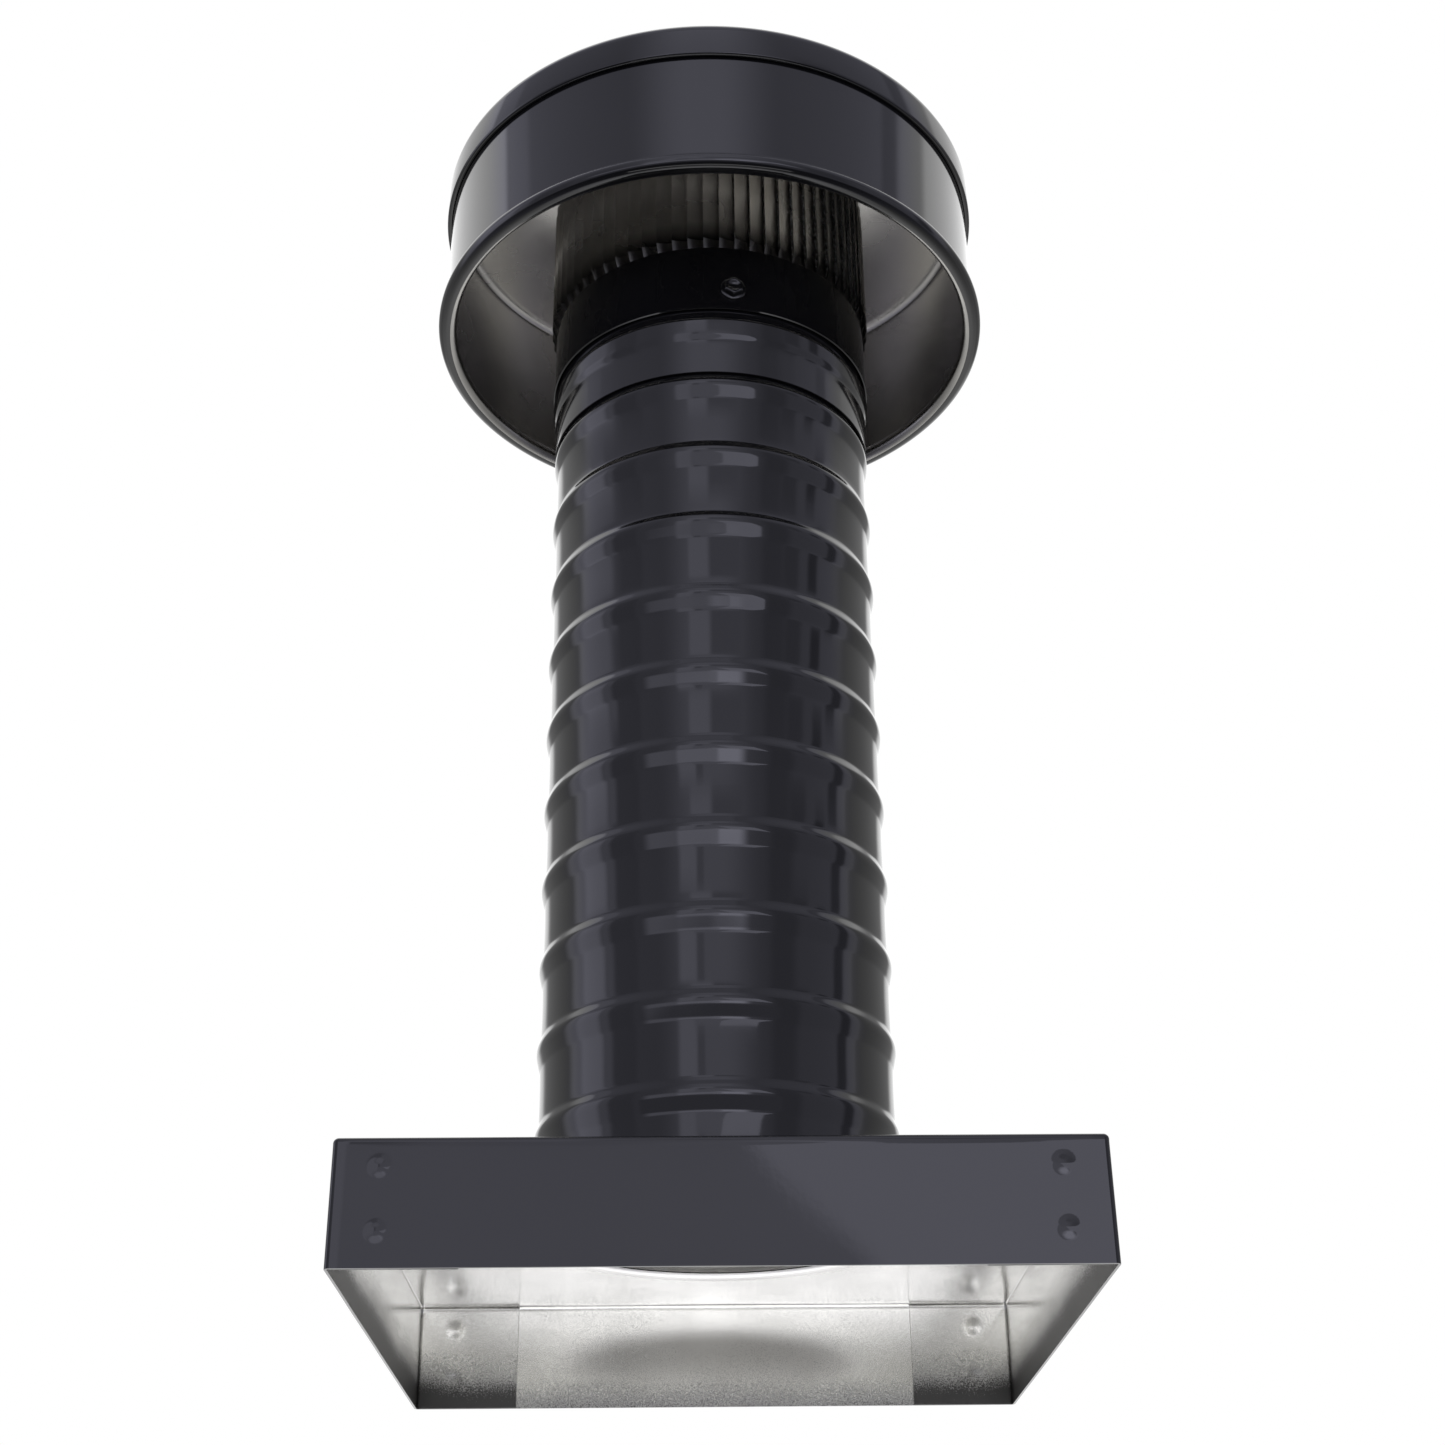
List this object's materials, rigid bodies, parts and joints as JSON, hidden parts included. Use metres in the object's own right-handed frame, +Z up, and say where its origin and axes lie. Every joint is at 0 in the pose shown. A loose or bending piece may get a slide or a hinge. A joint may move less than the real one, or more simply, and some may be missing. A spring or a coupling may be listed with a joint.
{
  "type": "solar attic fan",
  "caption": "Roof-mounted solar attic fan: curb base, beaded duct, louvred head under a drum hood, solar panel on the lid and a motor-driven propeller in the throat.",
  "frame": {"origin": "centre of the footprint at the lower edge of the base's skirt, on the duct's axis", "axes": "+Z up along the duct's axis, -Y towards the base's front wall, +X to the right seen from the front"},
  "size_m": [0.2794, 0.281, 0.613],
  "materials": {
    "black_paint": "gloss",
    "bare_aluminium": "brushed",
    "screen_mesh": "woven",
    "zinc_steel": "zinc plated",
    "motor_steel": "drawn",
    "black_plastic": "moulded",
    "bearing_bronze": "sintered",
    "ferrite": "sintered",
    "carbon": "pressed",
    "frame_aluminium": "anodised",
    "panel_glass": "tempered",
    "solar_cell": "silicon",
    "backsheet": "white film",
    "seal_rubber": "moulded",
    "lead_jacket": "extruded"
  },
  "bodies": {
    "housing": {"curb_base": "black_paint", "duct_tube": "black_paint", "neck_sleeve": "black_paint", "louver_ring": "black_paint", "collar_screws": "black_paint", "wind_band": "black_paint", "lid": "black_paint", "insect_screen": "screen_mesh", "lid_rivets": "bare_aluminium", "motor_bracket": "zinc_steel", "bracket_bolts": "zinc_steel", "bracket_nuts": "zinc_steel", "motor_can": "motor_steel", "motor_end_cap": "black_plastic", "motor_bearings": "bearing_bronze", "motor_magnets": "ferrite", "motor_brushes": "carbon", "motor_screws": "zinc_steel", "panel_frame": "frame_aluminium", "panel_glass": "panel_glass", "solar_cells": "solar_cell", "panel_backsheet": "backsheet", "panel_rails": "frame_aluminium", "panel_spacers": "frame_aluminium", "panel_bolts": "zinc_steel", "panel_nuts": "zinc_steel", "rail_screws": "zinc_steel", "junction_box": "black_plastic", "lead_grommet": "seal_rubber", "motor_lead": "lead_jacket"},
    "rotor": {"motor_shaft": "motor_steel", "motor_armature": "motor_steel", "commutator": "bearing_bronze", "fan_hub": "bare_aluminium", "hub_set_screw": "zinc_steel", "propeller": "bare_aluminium", "hub_rivets": "bare_aluminium"}
  },
  "joints": [
    {"name": "fan_spin", "type": "hinge", "parent": "housing", "child": "rotor", "pos_m": [0, 0, 0.5], "axis": [0, 0, 1], "continuous": true}
  ]
}
